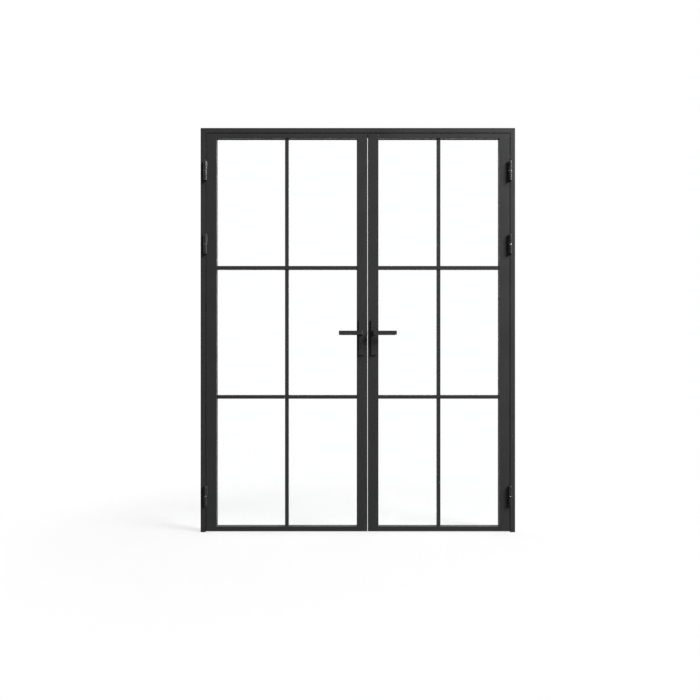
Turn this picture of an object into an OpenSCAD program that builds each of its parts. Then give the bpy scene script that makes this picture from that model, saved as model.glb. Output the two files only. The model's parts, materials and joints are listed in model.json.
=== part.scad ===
// Pair of unequal glazed french doors in a three-sided steel frame.
// +X right, +Y away from the hinge side, +Z up. The origin is on the floor, midway
// between the jambs, on the middle plane of the closed leaves.
// Each leaf is drawn from its hinge edge (x = 0) to its free edge, from its own bottom
// edge up. Lock parts are drawn from the free edge (x = 0) inwards.

/* [Leaves] */
// Width of the active leaf
active_w = 825; // [600:5:1100]
// Width of the passive leaf
passive_w = 725; // [500:5:1100]
// Height of both leaves
leaf_h = 2035; // [1900:1:2500]
// Thickness of the leaves
leaf_t = 40; // [38:1:56]
// Gap between a leaf and the frame, and between the leaves
leaf_gap = 3; // [2.8:0.1:5]
// Gap under the leaves
floor_gap = 5; // [2:0.5:15]

/* [Frame] */
// Face width of the jambs and the head
frame_face = 25; // [22:1:60]
// How far the stop stands out from the rebate
stop_out = 12; // [10:1:20]
// Depth of the stop behind the leaf
stop_t = 20; // [12:1:40]
// Wall of the frame and leaf profiles
wall = 2; // [1.5:0.1:2.5]
// Gap for the seal between leaf and stop
seal_gap = 4; // [3:0.5:8]
// Width of the seal
seal_w = 6; // [4:0.5:8]
// Length of each leg of a frame corner block
frame_block_leg = 105; // [60:5:130]
// Depth of a frame corner block
frame_block_t = 44; // [20:1:50]
// Radius of the wall fixing holes
fixing_r = 4.5; // [3:0.5:6]
// Fixing holes in each jamb
fixing_n = 4; // [2:1:5]
// Height of the lowest fixing hole
fixing_z = 160; // [120:5:250]
// Distance between fixing holes
fixing_pitch = 580; // [200:10:600]

/* [Stiles and rails] */
// Face width of the stiles
stile_w = 54; // [52:1:90]
// Face height of the rails
rail_h = 25; // [24:1:90]
// How far the glazing nose covers the pane's edge
lip = 12; // [8:0.5:12]
// Length of a corner block in its rail
block_l = 70; // [40:5:120]
// Radius of a corner block's tenon
tenon_r = 2.5; // [2:0.1:3]
// Distance between a corner block's two tenons
tenon_pitch = 12; // [8:1:14]
// Thickness of the end plates in the stiles
cap_t = 3; // [2:0.5:3]
// Slack round what is pushed into a profile
fit = 0.15; // [0.05:0.05:0.3]

/* [Glass and bars] */
// Thickness of the glass
glass_t = 6; // [4:1:10]
// Rubber between the glass and its nose or bead
gasket_t = 2; // [1:0.5:4]
// Room round the edge of the glass
glass_room = 3; // [2:0.5:5]
// Length of the blocks the glass stands on
setting_l = 80; // [40:5:120]
// Wall of beads and glazing bars
bar_wall = 1.5; // [1:0.1:2]
// Face width of the glazing bars
bar_w = 18; // [12:1:40]
// How far cross bars lie behind the leaf's face
cross_set = 2; // [0:0.5:5]
// How far upright bars lie behind the leaf's face
upright_set = 5; // [0:0.5:8]
// Panes one above the other
pane_rows = 3; // [2:1:5]

/* [Hinges] */
// Centre heights of the hinges above the bottom of the leaf
hinge_z = [182, 1467, 1842];
// Length of a hinge
hinge_l = 105; // [80:1:140]
// Radius of the barrel
barrel_r = 9; // [8:0.5:12]
// Room between the barrel and the leaf's face
barrel_off = 0.5; // [0.3:0.1:2]
// Radius of the hinge pin
hinge_pin_r = 5; // [3:0.5:6]
// Length of pin in the leaf's knuckle
hinge_pin_l = 36; // [20:1:38]
// Running clearance of the pin
pin_fit = 0.05; // [0.02:0.01:0.1]
// Thickness of the washer between knuckles
washer_t = 2; // [1:0.5:4]
// Width of the weld tab
tab_w = 6; // [4:0.5:7]

/* [Handles] */
// Height of the spindle above the bottom of the leaf
spindle_z = 1015; // [900:5:1100]
// Distance of the spindle from the free edge
backset = 30; // [28:0.5:30]
// Width of a back plate
plate_w = 28.5; // [26:0.5:36]
// Height of a back plate
plate_h = 180; // [176:1:240]
// Thickness of a back plate
plate_t = 8; // [6:0.5:12]
// How far the plate's middle is below the spindle
plate_drop = 24; // [18:1:26]
// Corner radius of a back plate
plate_r = 2; // [1:0.5:4]
// Distance of a plate screw from the plate's end
plate_screw_in = 10; // [8:1:12]
// Radius of a plate screw's shank
plate_screw_r = 2.5; // [2:0.5:3]
// Radius of the lever's round root in its collar
lever_r = 9.5; // [8:0.5:10]
// Height of the lever's flat bar
bar_h = 20; // [18:0.5:24]
// Thickness of the lever's flat bar
bar_t = 12; // [11:0.5:14]
// Outer radius of the corner where the bar turns
bar_corner = 5; // [3:0.5:8]
// Length of the lever from its spindle
lever_l = 115; // [90:1:140]
// Distance of the lever bar's middle from the leaf's face
lever_out = 50.5; // [42:0.5:65]
// Height of the collar round the lever's neck
collar_h = 3; // [2:0.5:5]
// Wall of that collar
collar_wall = 3; // [2:0.5:4]
// Running clearance round a lever's neck
lever_fit = 0.3; // [0.2:0.1:0.5]
// Side of the square spindle
spindle_s = 7; // [6:0.5:7]
// How deep the spindle goes into a lever
spindle_in = 24; // [15:1:28]

/* [Lock] */
// Distance of the cylinder below the spindle
cyl_drop = 48; // [46:1:60]
// Radius of the cylinder's round part
cyl_r = 8.5; // [8:0.1:8.5]
// Height of the cylinder's outline
cyl_h = 33; // [30:1:34]
// Width of the cylinder's leg
cyl_leg = 10; // [8:0.5:10]
// How far the cylinder stands out of a plate
cyl_out = 2; // [1:0.5:3]
// Radius of the turning plug
plug_r = 5; // [4:0.5:5.5]
// Thickness of the lock case
case_t = 18; // [16:1:20]
// Wall of the lock case
case_wall = 1.2; // [1:0.1:1.5]
// Width of the forend and of the strike plate
forend_w = 20; // [18:1:22]
// Thickness of the forend and of the strike plate
forend_t = 3; // [2.5:0.5:4]
// How far a bolt's sides are from their slot
bolt_fit = 0.2; // [0.1:0.05:0.4]
// Height of the latch and of the dead bolt
bolt_h = 18; // [14:1:20]
// Thickness of the latch and of the dead bolt
bolt_t = 12; // [10:1:14]
// How far the resting latch stands out; the other leaf's edge sweeps past it
latch_out = 1; // [0.5:0.1:1.1]
// Distance of the follower's lug from the spindle
latch_crank = 8; // [8:0.1:8.5]
// Turn of the active lever
lever_turn = 40; // [20:1:45]
// Distance of the cam's pin from the cylinder's axis
dead_crank = 7; // [6:0.1:7]
// Quarter turn of thumb turn and passive lever
quarter_turn = 90; // [80:1:90]
// Radius of the crank pins
crank_pin_r = 1.4; // [1.2:0.1:1.5]
// Side room of a crank pin in its fork
crank_room = 0.3; // [0.28:0.01:0.4]
// Radius of the top bolt
top_bolt_r = 5; // [4:0.5:6]
// Radius of the rod below the top bolt
rod_r = 4; // [3:0.5:4]
// Distance of the rod from the free edge
rod_in = 20; // [19:0.5:21]
// Thickness of the keep under the head
keep_t = 1.5; // [1:0.1:2]

/* [Hidden] */

black = "#333436";
shade = "#2a2b2c";
steel = "#a9abad";
rubber = "#1c1c1d";
nylon = "#26272a";
pane = [0.80, 0.86, 0.86, 0.3];

$fn = 48;
eps = 0.01;            // overshoot of a cut past a face
far = 500;             // longer than any part that a wedge trims

// Overall sizes
frame_w = active_w + passive_w + 3 * leaf_gap + 2 * frame_face;
head_under = floor_gap + leaf_h + leaf_gap;
frame_h = head_under + frame_face;
face_y = -leaf_t / 2;
back_y = leaf_t / 2;
stop_y = back_y + seal_gap;
frame_back = stop_y + stop_t;
frame_d = frame_back - face_y;

// Leaf sections
tube_w = stile_w - lip;
tube_h = rail_h - lip;
nose_t = leaf_t / 2 - glass_t / 2 - gasket_t;
nose_y = face_y + nose_t;
bead_y = glass_t / 2 + gasket_t;
open_h = leaf_h - 2 * rail_h;
tenon_zs = tube_h / 2;
tenon_head = 0.9;      // how much wider a tenon's riveted head is
tenon_l = 3;           // length of that head

// Hinges
axis_x = -leaf_gap / 2;
axis_y = face_y - barrel_off - barrel_r;
knuckle_l = (hinge_l - washer_t) / 2;
knuckle_lift = 0.1;    // the leaf's knuckle runs this far above its washer
dome = 2;              // height of a knuckle's rounded-off end

// Handles
plate_face = face_y - plate_t;
plate_mid = spindle_z - plate_drop;
plate_screw_z = [plate_mid - plate_h / 2 + plate_screw_in,
                 plate_mid + plate_h / 2 - plate_screw_in];
screw_hole = 0.3;      // clearance of a screw in its hole
csk = 2.2;             // depth and extra radius of a countersunk head
lever_y = face_y - lever_out;
spindle_end = -plate_face + spindle_in;
spindle_hole = 6.2;    // radius of the hole the spindle turns in
socket_fit = 0.1;      // room between the spindle and a lever's socket

// Lock, in the free edge's frame
cyl_z = spindle_z - cyl_drop;
clear = 0.3;           // between pieces that pass each other
cyl_fit = 0.4;         // round the cylinder in the stile and the case
case_x1 = tube_w - wall - clear;
case_top = 30;         // case above the spindle
case_bottom = 40;      // case below the cylinder
lug_h = 24;            // lugs that the forend is screwed to, above and below the case
lug_d = 12;            // their depth
forend_z0 = cyl_z - case_bottom - lug_h;
forend_z1 = spindle_z + case_top + lug_h;
forend_screw_z = [forend_z0 + lug_h / 2, forend_z1 - lug_h / 2];
forend_screw_r = 2;
hub_r = 6.5;           // follower's journal
lug_r = 1.5;           // follower's lug
lug_neck = 2;          // its neck is narrower, to swing clear in the latch's fork
fork_t = 4;            // thickness of the forks, across the leaf
fork_wall = 2.1;       // prong beside a lug
fork_low = hub_r + clear;
lug_fit = 0.15;        // beside the lug in the latch's fork
fork_back = 2;         // fork above its slot
web = 5;               // how far a bolt's fork reaches into its body
thread_fit = 0.05;     // between a screw and its plain thread
bolt_l = 18;           // length of latch and dead bolt behind the edge
cam_gap = 10;          // width of the cylinder's gap for the cam
shaft_r = 3;           // cam's shaft where it crosses the dead bolt's fork

// Top bolt gear
gear_crank = dead_crank;
disc_r = gear_crank + crank_pin_r;
gear_x0 = 13;          // the gear case leaves room for the dead bolt in front of it
yoke_inner = backset - (spindle_s / 2) * sqrt(2) - fit;
yoke_joint = 12;       // rod starts this far above the spindle
bolt_end = 40;         // length of the thick end of the rod
yoke_spine = 3.4;      // width of the yoke's upright
yoke_prong = 2;
yoke_slot = crank_pin_r + crank_room;
pin_dx = gear_crank * cos(quarter_turn / 2);
pin_dz = gear_crank * sin(quarter_turn / 2);
keep_l = 50;
keep_w = 18;
keep_r = 3;
keep_fit = 0.5;        // round the bolt in its keep
knob_t = 5;            // thumb turn's round foot
knob_l = 20;           // how far its wing stands out
knob_h = 26;           // wing's height
wing_t = 5;            // wing's thickness
key_w = 1.6;           // keyway
key_h = 7.2;

hinge_edge = -frame_w / 2 + frame_face + leaf_gap;

// ---- placing ----------------------------------------------------------------

module on_active() translate([hinge_edge, 0, floor_gap]) children();
module on_passive() mirror([1, 0, 0]) translate([hinge_edge, 0, floor_gap]) children();
// From the free edge of a leaf w wide, inwards
module at_edge(w) translate([w, 0, 0]) mirror([1, 0, 0]) children();
module active_edge() on_active() at_edge(active_w) children();
module passive_edge() on_passive() at_edge(passive_w) children();
// A cylinder along +Y or +X
module rod_y(r, y0, y1) translate([0, y0, 0]) rotate([-90, 0, 0]) cylinder(r = r, h = y1 - y0);
module rod_x(r, x0, x1) translate([x0, 0, 0]) rotate([0, 90, 0]) cylinder(r = r, h = x1 - x0);
// A block from one corner to the other
module block(a, b) translate(a) cube(b - a);
// Outline of a rectangle with round corners, centred
module round_rect(w, h, r) {
    square([w, h - 2 * r], center = true);
    square([w - 2 * r, h], center = true);
    for (x = [-1, 1], y = [-1, 1])
        translate([x * (w / 2 - r), y * (h / 2 - r)]) circle(r = r);
}

// ---- frame ------------------------------------------------------------------

// Section of the frame: x from the wall inwards, y from front to back
module frame_section() {
    difference() {
        union() {
            translate([0, face_y]) square([frame_face, frame_d]);
            translate([0, stop_y]) square([frame_face + stop_out, stop_t]);
        }
        translate([wall, face_y + wall]) square([frame_face - 2 * wall, frame_d - 2 * wall]);
        translate([wall, stop_y + wall])
            square([frame_face + stop_out - 2 * wall, stop_t - 2 * wall]);
    }
}

// The half-space above the mitre of the left upper corner
module mitre_wedge() {
    translate([-frame_w / 2, 0, frame_h]) rotate([0, 45, 0])
        translate([-far, -far, 0]) cube([3 * far, 2 * far, far]);
}

module jamb() {
    difference() {
        translate([-frame_w / 2, 0, 0]) linear_extrude(frame_h) frame_section();
        mitre_wedge();
        for (i = [0 : fixing_n - 1])
            translate([-frame_w / 2, 0, fixing_z + i * fixing_pitch])
                rod_x(fixing_r, -eps, frame_face + eps);
    }
}

module left_jamb() color(black) jamb();
module right_jamb() color(black) mirror([1, 0, 0]) jamb();

module frame_head() color(black) {
    half = frame_w / 2;
    difference() {
        translate([-half, 0, frame_h]) mirror([0, 0, 1]) rotate([90, 0, 90])
            linear_extrude(frame_w) mirror([1, -1]) frame_section();
        for (side = [0, 1]) mirror([side, 0, 0])
            translate([-half, 0, frame_h]) rotate([0, 45, 0])
                translate([-far, -far, -far]) cube([3 * far, 2 * far, far]);
        passive_edge() translate([rod_in, 0, leaf_h])
            cylinder(r = top_bolt_r + 2 * keep_fit, h = leaf_gap + wall + 1);
    }
}

module frame_corner_blocks() color(steel) {
    in = wall + fit;
    leg_w = frame_face - 2 * in;
    mid = (face_y + frame_back) / 2;
    for (side = [0, 1]) mirror([side, 0, 0])
        translate([-frame_w / 2 + in, mid - frame_block_t / 2, frame_h - in]) {
            translate([0, 0, -leg_w]) cube([frame_block_leg, frame_block_t, leg_w]);
            translate([0, 0, -frame_block_leg]) cube([leg_w, frame_block_t, frame_block_leg]);
        }
}

// Section of a seal, from its foot on the stop (y = 0) towards the leaf
module seal_section() {
    bulb_r = (seal_gap - clear) / 2;
    translate([-seal_w / 2, -seal_gap / 3]) square([seal_w, seal_gap / 3]);
    translate([0, -bulb_r]) circle(r = bulb_r);
}

module frame_seals() color(rubber) {
    in = frame_face + leaf_gap + (stop_out - leaf_gap) / 2;
    for (side = [0, 1]) mirror([side, 0, 0])
        translate([-frame_w / 2 + in, stop_y, floor_gap])
            linear_extrude(frame_h - in + seal_w / 2 - floor_gap) seal_section();
    translate([-frame_w / 2 + in + seal_w / 2, stop_y, frame_h - in])
        rotate([90, 0, 90]) linear_extrude(frame_w - 2 * in - seal_w)
            mirror([1, -1]) seal_section();
}

module head_keep() color(steel) passive_edge()
    translate([rod_in, 0, leaf_h + leaf_gap - keep_t]) difference() {
        linear_extrude(keep_t) round_rect(keep_l, keep_w, keep_r);
        translate([0, 0, -eps]) cylinder(r = top_bolt_r + keep_fit, h = keep_t + 2 * eps);
    }

// ---- hinges -----------------------------------------------------------------

// Outline of a knuckle and its rounded-off end, for turning about the pin
module knuckle_outline(r0) {
    polygon([[r0, 0], [barrel_r, 0], [barrel_r, knuckle_l - dome],
             [barrel_r - dome, knuckle_l], [r0, knuckle_l]]);
}

// One half of a hinge at z = 0 at its washer, growing upwards, its tab on +X
module knuckle(bored) {
    difference() {
        rotate_extrude() knuckle_outline(0);
        if (bored) translate([0, 0, -eps])
            cylinder(r = hinge_pin_r + pin_fit, h = hinge_pin_l + 1);
    }
    difference() {
        block([leaf_gap / 2, 0, 3], [leaf_gap / 2 + tab_w, face_y - axis_y, knuckle_l - 3]);
        cylinder(r = barrel_r - 1, h = knuckle_l);
    }
}

module leaf_knuckles() color(black) for (z = hinge_z)
    translate([axis_x, axis_y, z + washer_t / 2 + knuckle_lift]) knuckle(true);

module frame_knuckles() for (z = hinge_z)
    translate([axis_x, axis_y, z - washer_t / 2]) {
        mirror([0, 0, 1]) mirror([1, 0, 0]) knuckle(false);
        translate([0, 0, -1]) cylinder(r = hinge_pin_r, h = hinge_pin_l + washer_t + 1);
    }

module washers() for (z = hinge_z)
    translate([axis_x, axis_y, z - washer_t / 2]) difference() {
        cylinder(r = barrel_r, h = washer_t);
        translate([0, 0, -eps]) cylinder(r = hinge_pin_r + 0.2, h = washer_t + 2 * eps);
    }

module hinge_frame_knuckles() color(black) {
    on_active() frame_knuckles();
    on_passive() frame_knuckles();
}

module hinge_washers() color(steel) {
    on_active() washers();
    on_passive() washers();
}

// ---- leaf profiles ----------------------------------------------------------

// Section of a stile or rail: x from the outer edge to the opening, y front to back
module leaf_section(face) {
    tube = face - lip;
    difference() {
        union() {
            translate([0, face_y]) square([tube, leaf_t]);
            translate([0, face_y]) square([face, nose_t]);
        }
        translate([wall, face_y + wall]) square([tube - 2 * wall, leaf_t - 2 * wall]);
        translate([tube, face_y + wall]) square([lip - wall, nose_t - 2 * wall]);
    }
}

module tenon_spots() for (top = [0, 1], i = [-0.5, 0.5])
    translate([0, back_y - wall - tenon_pitch + i * tenon_pitch,
               top ? leaf_h - tenon_zs : tenon_zs]) children();

// A full-height stile, its outer edge at x = 0
module stile() difference() {
    linear_extrude(leaf_h) leaf_section(stile_w);
    tenon_spots() rod_x(tenon_r + fit, tube_w - wall - eps, tube_w + eps);
}

module rail(w) difference() {
    translate([tube_w, 0, 0]) rotate([90, 0, 90]) linear_extrude(w - 2 * tube_w)
        mirror([1, -1]) leaf_section(rail_h);
    for (x = [tube_w - eps, w - stile_w])
        block([x, face_y - eps, -eps], [x + lip + eps, nose_y, rail_h + eps]);
}

module top_rail(w) color(black) translate([0, 0, leaf_h]) mirror([0, 0, 1]) rail(w);
module bottom_rail(w) color(black) rail(w);

// A block in a rail's tube, riveted through the stile's inner wall
module corner_block() {
    z0 = wall + fit;
    z1 = tube_h - wall - fit;
    y1 = back_y - wall - fit;
    block([tube_w, nose_y + fit, z0], [stile_w + 1, y1, z1]);
    block([stile_w + fit, face_y + wall + fit, z0], [tube_w + block_l, y1, z1]);
    for (i = [-0.5, 0.5])
        translate([0, back_y - wall - tenon_pitch + i * tenon_pitch, tube_h / 2]) {
            rod_x(tenon_r, tube_w - wall - 1, tube_w + 1);
            rod_x(tenon_r + tenon_head, tube_w - wall - tenon_l, tube_w - wall);
        }
}

module corner_blocks(w) color(steel)
    for (right = [0, 1], top = [0, 1])
        translate([right * w, 0, top * leaf_h])
            mirror([right, 0, 0]) mirror([0, 0, top]) corner_block();

// Plates that close the stiles' ends; the bolt runs through one of them
module end_caps(w, bolt_hole) color(nylon)
    difference() {
        for (right = [0, 1], top = [0, 1])
            translate([right * w, 0, top * leaf_h])
                mirror([right, 0, 0]) mirror([0, 0, top])
                    block([wall + fit, face_y + wall + fit, 0],
                          [tube_w - wall - fit, back_y - wall - fit, cap_t]);
        if (bolt_hole) translate([w - rod_in, 0, leaf_h - cap_t - eps])
            cylinder(r = top_bolt_r + 0.1, h = cap_t + 2 * eps);
    }

// ---- glazing ----------------------------------------------------------------

module glass(w) color(pane) {
    x0 = tube_w + glass_room;
    z0 = tube_h + glass_room;
    block([x0, -glass_t / 2, z0], [w - x0, glass_t / 2, leaf_h - z0]);
}

module glazing_rubbers(w) color(rubber) {
    x0 = tube_w + glass_room;
    z0 = tube_h + glass_room;
    shy = 0.5;         // how far the rubber stays behind the nose's edge
    for (side = [0, 1]) mirror([0, side, 0]) difference() {
        block([x0, -bead_y, z0], [w - x0, -glass_t / 2, leaf_h - z0]);
        block([stile_w - shy, -bead_y - eps, rail_h - shy],
              [w - stile_w + shy, -glass_t / 2 + eps, leaf_h - rail_h + shy]);
    }
    for (x = [w / 4, 3 * w / 4])
        block([x - setting_l / 2, -glass_t / 2, tube_h],
              [x + setting_l / 2, glass_t / 2, z0]);
}

// A tube between two corners, open at both ends along the given axis (0 is X, 2 is Z)
module box_tube(a, b, axis) {
    in = bar_wall;
    cut_a = axis == 0 ? [-eps, in, in] : [in, in, -eps];
    cut_b = axis == 0 ? [eps, -in, -in] : [-in, -in, eps];
    difference() {
        block(a, b);
        block(a + cut_a, b + cut_b);
    }
}

module beads(w) color(black) {
    for (top = [0, 1]) translate([0, 0, top * leaf_h]) mirror([0, 0, top])
        box_tube([tube_w, bead_y, tube_h], [w - tube_w, back_y, rail_h], 0);
    for (right = [0, 1]) translate([right * w, 0, 0]) mirror([right, 0, 0])
        box_tube([tube_w, bead_y, rail_h + fit], [stile_w, back_y, leaf_h - rail_h - fit], 2);
}

function bar_z(i) = rail_h + open_h * i / pane_rows;

// Cross bars run from stile to stile, on both faces of the glass
module cross_bars(w) color(black)
    for (side = [0, 1], i = [1 : pane_rows - 1]) mirror([0, side, 0])
        box_tube([stile_w, face_y + cross_set, bar_z(i) - bar_w / 2],
                 [w - stile_w, -glass_t / 2, bar_z(i) + bar_w / 2], 0);

// Upright bars stand between the rails and the cross bars
module upright_bars(w) color(black)
    for (side = [0, 1], i = [0 : pane_rows - 1]) mirror([0, side, 0])
        box_tube([w / 2 - bar_w / 2, face_y + upright_set, bar_z(i) + (i == 0 ? 0 : bar_w / 2)],
                 [w / 2 + bar_w / 2, -glass_t / 2,
                  bar_z(i + 1) - (i == pane_rows - 1 ? 0 : bar_w / 2)], 2);

// ---- lock stiles ------------------------------------------------------------

// Outline of the lock cylinder, its round part at the origin
module cylinder_outline(grow) {
    circle(r = cyl_r + grow);
    translate([-cyl_leg / 2 - grow, cyl_r - cyl_h - grow])
        square([cyl_leg + 2 * grow, cyl_h - 2 * cyl_r + cyl_r + 2 * grow]);
    translate([0, 2 * cyl_r - cyl_h]) circle(r = cyl_leg / 2 + grow);
}

// The cylinder outline drawn along Y between two depths
module cylinder_prism(y0, y1, grow)
    translate([backset, y1, cyl_z]) rotate([90, 0, 0])
        linear_extrude(y1 - y0) cylinder_outline(grow);

module at_spindle() translate([backset, 0, spindle_z]) children();
module at_cylinder() translate([backset, 0, cyl_z]) children();

// What both lock stiles have cut through them
module plate_cuts() {
    at_spindle() rod_y(spindle_hole + 1, face_y - eps, back_y + eps);
    for (z = plate_screw_z) translate([backset, 0, z])
        rod_y(plate_screw_r + screw_hole, face_y - eps, back_y + eps);
}

module forend_cut() block([-eps, -forend_w / 2 - fit, forend_z0 - fit],
                          [wall + eps, forend_w / 2 + fit, forend_z1 + fit]);

module active_lock_stile() color(black) active_edge() difference() {
    stile();
    forend_cut();
    plate_cuts();
    cylinder_prism(face_y - eps, back_y + eps, cyl_fit);
}

module passive_lock_stile() color(black) passive_edge() difference() {
    stile();
    forend_cut();
    plate_cuts();
}

// ---- plates and levers ------------------------------------------------------

// A plate on the front of the leaf; the back one is its mirror image
module plate(cylinder_hole) {
    difference() {
        union() {
            translate([backset, face_y, plate_mid]) rotate([90, 0, 0])
                linear_extrude(plate_t) round_rect(plate_w, plate_h, plate_r);
            at_spindle() rod_y(lever_r + lever_fit + collar_wall,
                               plate_face - collar_h, plate_face + 1);
        }
        at_spindle() {
            rod_y(lever_r + lever_fit, plate_face - collar_h - eps, plate_face);
            rod_y(spindle_hole, plate_face - eps, face_y + eps);
        }
        if (cylinder_hole) cylinder_prism(plate_face - eps, face_y + eps, 0.2);
    }
    // A plain round cover where the other plate has its cylinder
    if (!cylinder_hole) at_cylinder() rod_y(cyl_r, plate_face - cyl_out, plate_face + 1);
}

module front_plate(cylinder_hole) difference() {
    plate(cylinder_hole);
    for (z = plate_screw_z) translate([backset, 0, z])
        rod_y(plate_screw_r + fit, face_y - plate_t + 2, face_y + eps);
}

module back_plate(cylinder_hole) difference() {
    mirror([0, 1, 0]) plate(cylinder_hole);
    for (z = plate_screw_z) translate([backset, 0, z]) {
        rod_y(plate_screw_r + screw_hole, back_y - eps, -plate_face + eps);
        screw_head(screw_hole, eps);
    }
}

// The countersunk head of a plate screw, at the back plate's face
module screw_head(grow, past) {
    translate([0, -plate_face - csk, 0]) rotate([-90, 0, 0])
        cylinder(r1 = plate_screw_r + grow, r2 = plate_screw_r + csk + grow, h = csk);
    if (past > 0) rod_y(plate_screw_r + csk + grow, -plate_face - eps, -plate_face + past);
}

module plate_screws() color(shade) for (z = plate_screw_z) translate([backset, 0, z])
    difference() {
        union() {
            screw_head(0, 0);
            rod_y(plate_screw_r, face_y - plate_t + 2.5, -plate_face - csk);
        }
        // six-sided key socket
        rotate([-90, 0, 0]) translate([0, 0, -plate_face - 2]) cylinder(r = 1.7, h = 3, $fn = 6);
    }

// Plan of the lever's flat bar: out from the plate, round a corner and along the leaf
module lever_plan() {
    x0 = backset - bar_t / 2;
    y0 = lever_y - bar_t / 2;
    neck_end = plate_face - collar_h - lever_fit;
    translate([x0 + bar_corner, y0]) square([bar_t / 2 + lever_l - bar_corner, bar_t]);
    translate([x0, y0 + bar_corner]) square([bar_t, neck_end - y0 - bar_corner]);
    translate([x0 + bar_corner, y0 + bar_corner]) circle(r = bar_corner);
}

// A lever on the front of the leaf, pointing to the hinges
module lever() {
    shoulder = 1.5;    // round root below the bar, clear of the collar
    difference() {
        union() {
            at_spindle() rod_y(lever_r, plate_face - collar_h - lever_fit - shoulder,
                               plate_face - lever_fit);
            translate([0, 0, spindle_z - bar_h / 2]) linear_extrude(bar_h) lever_plan();
        }
        s = spindle_s + 2 * socket_fit;
        translate([backset - s / 2, -spindle_end - 0.5, spindle_z - s / 2])
            cube([s, spindle_end, s]);
    }
}

module spindle() color(steel)
    translate([backset - spindle_s / 2, -spindle_end, spindle_z - spindle_s / 2])
        cube([spindle_s, 2 * spindle_end, spindle_s]);

module spindle_socket(y0, y1) {
    s = spindle_s + 2 * socket_fit;
    translate([-s / 2, y0 - eps, -s / 2]) cube([s, y1 - y0 + 2 * eps, s]);
}

// ---- lock -------------------------------------------------------------------

// A thin case from depth x0 in the stile, open towards the edge
module case_shell(x0, z0, z1) difference() {
    block([x0, -case_t / 2, z0], [case_x1, case_t / 2, z1]);
    block([x0 - eps, -case_t / 2 + case_wall, z0 + case_wall],
          [case_x1 - case_wall, case_t / 2 - case_wall, z1 - case_wall]);
}

module lock_case() color(steel) active_edge() difference() {
    union() {
        case_shell(forend_t, cyl_z - case_bottom, spindle_z + case_top);
        for (z = [forend_z0, forend_z1 - lug_h])
            block([forend_t, -case_t / 2, z], [forend_t + lug_d, case_t / 2, z + lug_h]);
    }
    at_spindle() rod_y(hub_r + pin_fit, -case_t, case_t);
    cylinder_prism(-case_t, case_t, cyl_fit);
    for (z = forend_screw_z) translate([0, 0, z])
        rod_x(forend_screw_r + thread_fit, forend_t - eps, forend_t + lug_d + eps);
}

// A bolt's slot through the forend or strike plate
module bolt_slot(z) block([-eps, -bolt_t / 2 - bolt_fit, z - bolt_h / 2 - bolt_fit],
                          [forend_t + eps, bolt_t / 2 + bolt_fit, z + bolt_h / 2 + bolt_fit]);

module forend_plate() difference() {
    block([0, -forend_w / 2, forend_z0], [forend_t, forend_w / 2, forend_z1]);
    bolt_slot(spindle_z);
    bolt_slot(cyl_z);
    for (z = forend_screw_z) translate([0, 0, z]) {
        rod_x(forend_screw_r + screw_hole, -eps, forend_t + eps);
        forend_screw_head(screw_hole);
    }
}

module forend_screw_head(grow) rotate([0, 90, 0])
    cylinder(r1 = forend_screw_r + csk + grow, r2 = forend_screw_r + grow, h = csk);

module edge_screws(l) color(steel) for (z = forend_screw_z) translate([0, 0, z])
    difference() {
        union() {
            forend_screw_head(0);
            rod_x(forend_screw_r, csk - eps, l);
        }
        translate([-eps, 0, 0]) rotate([0, 90, 0]) cylinder(r = 1.5, h = 1.8, $fn = 6);
    }

module lock_forend() color(steel) active_edge() forend_plate();
module forend_screws() active_edge() edge_screws(forend_t + lug_d - 1);

module lock_cylinder() color(steel) active_edge() difference() {
    cylinder_prism(plate_face - cyl_out, -plate_face + cyl_out, 0);
    // gap for the cam
    at_cylinder() block([-cyl_r - eps, -cam_gap / 2, -cyl_r], [cyl_r + eps, cam_gap / 2, cyl_r + eps]);
    at_cylinder() rod_y(plug_r + pin_fit, plate_face - cyl_out - eps, -plate_face + cyl_out + eps);
}

// Front plug with its keyway
module cylinder_plug() color(shade) active_edge() at_cylinder() difference() {
    rod_y(plug_r, plate_face - cyl_out, -cam_gap / 2);
    block([-key_w / 2, plate_face - cyl_out - eps, -key_h / 2],
          [key_w / 2, -cam_gap, key_h / 2]);
}

// Knob behind the back plate, with its shaft into the cylinder
module thumb_turn() color(black) active_edge() at_cylinder() {
    rod_y(plug_r, cam_gap / 2, -plate_face + cyl_out + lever_fit + 1);
    translate([0, -plate_face + cyl_out + lever_fit, 0]) {
        rod_y(cyl_r, 0, knob_t);
        block([-wing_t / 2, knob_t - 1, -knob_h / 2], [wing_t / 2, knob_l, knob_h / 2]);
    }
}

// Crank in the cylinder's gap; its pin is in the dead bolt's fork
module cylinder_cam() color(steel) active_edge() at_cylinder() {
    y0 = -cam_gap / 2;
    y1 = -fork_t / 2 - clear;
    rod_y(shaft_r, y0 + 1, cam_gap / 2);
    rod_y(shaft_r + 2, y0, y1);
    rotate([0, quarter_turn / 2, 0]) {
        block([-crank_pin_r, y0, 0], [crank_pin_r, y1, dead_crank]);
        translate([0, 0, dead_crank]) rod_y(crank_pin_r, y0, fork_t / 2);
    }
}

// Latch: nose, body, and a fork over the follower's lug
module latch_bolt() color(steel) active_edge() {
    z = spindle_z;
    lug_x = backset - latch_crank * sin(lever_turn / 2);
    slot = lug_r + lug_fit;
    top = latch_crank + lug_r + clear;
    difference() {
        union() {
            block([-latch_out, -bolt_t / 2, z - bolt_h / 2], [bolt_l, bolt_t / 2, z + bolt_h / 2]);
            block([bolt_l - web, -fork_t / 2, z + fork_low],
                  [lug_x + slot + fork_wall, fork_t / 2, z + top + fork_back]);
        }
        block([lug_x - slot, -fork_t / 2 - eps, z + fork_low - eps],
              [lug_x + slot, fork_t / 2 + eps, z + top]);
    }
}

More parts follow.
